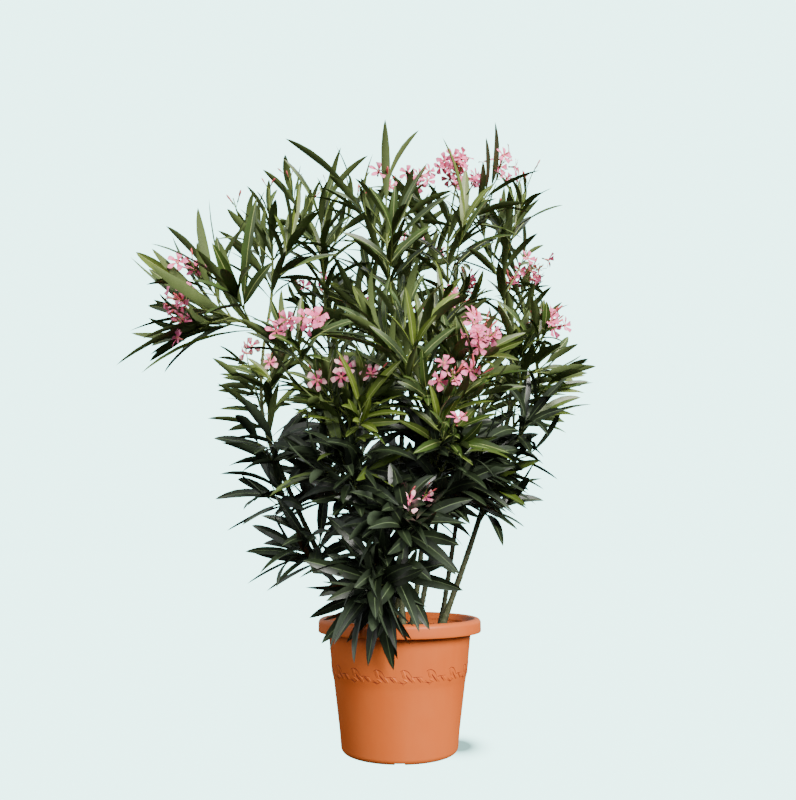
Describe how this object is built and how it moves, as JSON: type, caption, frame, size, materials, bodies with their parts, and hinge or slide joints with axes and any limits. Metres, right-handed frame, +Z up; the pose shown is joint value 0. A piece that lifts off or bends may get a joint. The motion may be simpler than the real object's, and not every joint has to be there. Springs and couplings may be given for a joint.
{
  "type": "potted oleander",
  "caption": "Flowering evergreen shrub with leaning stems, long narrow leaves in whorls and pink blossom, growing in a round rimmed terracotta-coloured plastic pot.",
  "frame": {"origin": "centre of the pot's flat underside", "axes": "+Z up along the pot's axis, +X to the right and +Y to the back, seen from the front"},
  "size_m": [0.9319, 0.8229, 1.3637],
  "materials": {
    "pot_plastic": "terracotta-coloured moulded plastic, slightly satin",
    "soil": "dark moist potting compost",
    "bark": "greenish brown bark with rings of old leaf scars",
    "green_bark": "smooth yellow-green young bark",
    "young_foliage": "mid green leathery leaves with a pale midrib, pink blossom",
    "old_foliage": "very dark green leathery leaves with a pale midrib"
  },
  "bodies": {
    "root": {"pot": "pot_plastic", "soil": "soil", "stem_right": "bark", "stem_right_inner": "bark", "stem_left": "bark", "stem_front_left": "bark", "stem_front_right": "bark", "stem_front": "bark", "stem_back_left": "bark", "stem_back_right": "bark", "stem_centre": "bark", "bough_far_left": "green_bark", "bough_left": "green_bark", "bough_front_left": "green_bark", "bough_front": "green_bark", "bough_front_right": "green_bark", "bough_centre": "green_bark", "bough_centre_back": "green_bark", "bough_back_left": "green_bark", "bough_back_left_low": "green_bark", "bough_right_inner": "green_bark", "bough_right": "green_bark", "bough_right_low": "green_bark", "bough_back_right": "green_bark", "bough_back_right_low": "green_bark", "foliage_far_left": "young_foliage", "foliage_left_top": "young_foliage", "foliage_back_left_top": "young_foliage", "foliage_centre_top": "young_foliage", "foliage_right_inner_top": "young_foliage", "foliage_right_top": "young_foliage", "foliage_back_right_top": "young_foliage", "foliage_right_mid": "young_foliage", "foliage_right_side": "young_foliage", "foliage_front": "young_foliage", "foliage_front_right": "young_foliage", "foliage_front_low_right": "young_foliage", "foliage_front_left": "young_foliage", "foliage_front_mid_left": "young_foliage", "foliage_back_left_high": "young_foliage", "foliage_back_top": "young_foliage", "foliage_back_right_high": "young_foliage", "foliage_left_side": "young_foliage", "foliage_back_right_side": "young_foliage", "foliage_middle_left": "young_foliage", "foliage_middle_right": "young_foliage", "foliage_left_mid": "old_foliage", "foliage_left_low": "old_foliage", "foliage_left_lowest": "old_foliage", "foliage_front_left_mid": "old_foliage", "foliage_front_right_mid": "old_foliage", "foliage_front_hanging": "old_foliage", "foliage_front_low": "old_foliage", "foliage_right_low": "old_foliage", "foliage_right_lowest": "old_foliage", "foliage_right_inner_low": "old_foliage", "foliage_back_left_low": "old_foliage", "foliage_back_right_low": "old_foliage", "foliage_back_low": "old_foliage", "foliage_heart": "old_foliage"}
  },
  "joints": []
}
